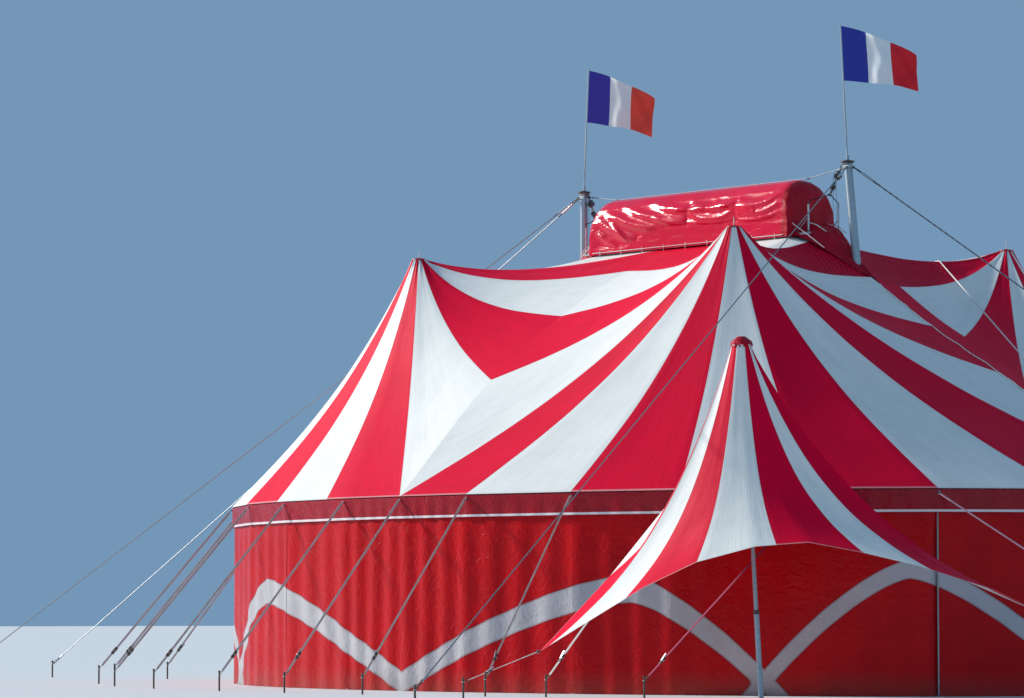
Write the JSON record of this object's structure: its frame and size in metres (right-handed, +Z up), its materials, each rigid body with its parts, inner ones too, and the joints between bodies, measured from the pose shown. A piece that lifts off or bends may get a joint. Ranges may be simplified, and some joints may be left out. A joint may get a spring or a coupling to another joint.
{
  "type": "circus big top tent",
  "caption": "Circus big top: oval striped tension roof with quarter-pole peaks, king poles carrying a raised cupola, curtain walls, a corner porch, guys and flags.",
  "frame": {"origin": "centre of the tent's plan at ground level", "axes": "+X along the row of king poles, +Y to the back, +Z up; the porch is at the +X, -Y corner"},
  "size_m": [38.644, 38.244, 14.3012],
  "materials": {
    "galvanised_steel": "weathered zinc, slightly bluish",
    "striped_canvas": "coated canvas in red and white gores",
    "red_vinyl": "glossy creased vinyl-coated cloth",
    "wall_vinyl": "satin coated cloth with a white wavy band",
    "flag_cloth": "thin woven cloth in three upright bands",
    "webbing": "woven strap with a zinc-plated ratchet"
  },
  "bodies": {
    "root": {"cupola_cover": "red_vinyl", "cupola_frame": "galvanised_steel", "cupola_skirt_left": "red_vinyl", "cupola_skirt_right": "red_vinyl", "eave_frame_back": "galvanised_steel", "eave_frame_back_left": "galvanised_steel", "eave_frame_back_right": "galvanised_steel", "eave_frame_front": "galvanised_steel", "eave_frame_front_left": "galvanised_steel", "eave_frame_front_right": "galvanised_steel", "eave_frame_left": "galvanised_steel", "eave_frame_right": "galvanised_steel", "flag_left": "flag_cloth", "flag_right": "flag_cloth", "flag_staff_left": "galvanised_steel", "flag_staff_right": "galvanised_steel", "hoist_left": "galvanised_steel", "hoist_right": "galvanised_steel", "king_pole_left": "galvanised_steel", "king_pole_right": "galvanised_steel", "mast_guys_left": "galvanised_steel", "mast_guys_right": "galvanised_steel", "porch_canopy": "striped_canvas", "porch_pole": "galvanised_steel", "porch_strap_left": "webbing", "porch_strap_right": "webbing", "quarter_pole_back_left": "galvanised_steel", "quarter_pole_back_right": "galvanised_steel", "quarter_pole_front_left": "galvanised_steel", "quarter_pole_front_right": "galvanised_steel", "ridge_cable": "galvanised_steel", "roof_back_left": "striped_canvas", "roof_back_right": "striped_canvas", "roof_front_left": "striped_canvas", "roof_front_right": "striped_canvas", "valance_back": "striped_canvas", "valance_front": "striped_canvas", "valance_left": "striped_canvas", "valance_right": "striped_canvas", "wall_back": "wall_vinyl", "wall_back_left": "wall_vinyl", "wall_back_right": "wall_vinyl", "wall_entrance_left": "wall_vinyl", "wall_entrance_right": "wall_vinyl", "wall_front": "wall_vinyl", "wall_front_left": "wall_vinyl", "wall_front_right": "wall_vinyl", "wall_left": "wall_vinyl", "wall_right": "wall_vinyl"}
  },
  "joints": []
}
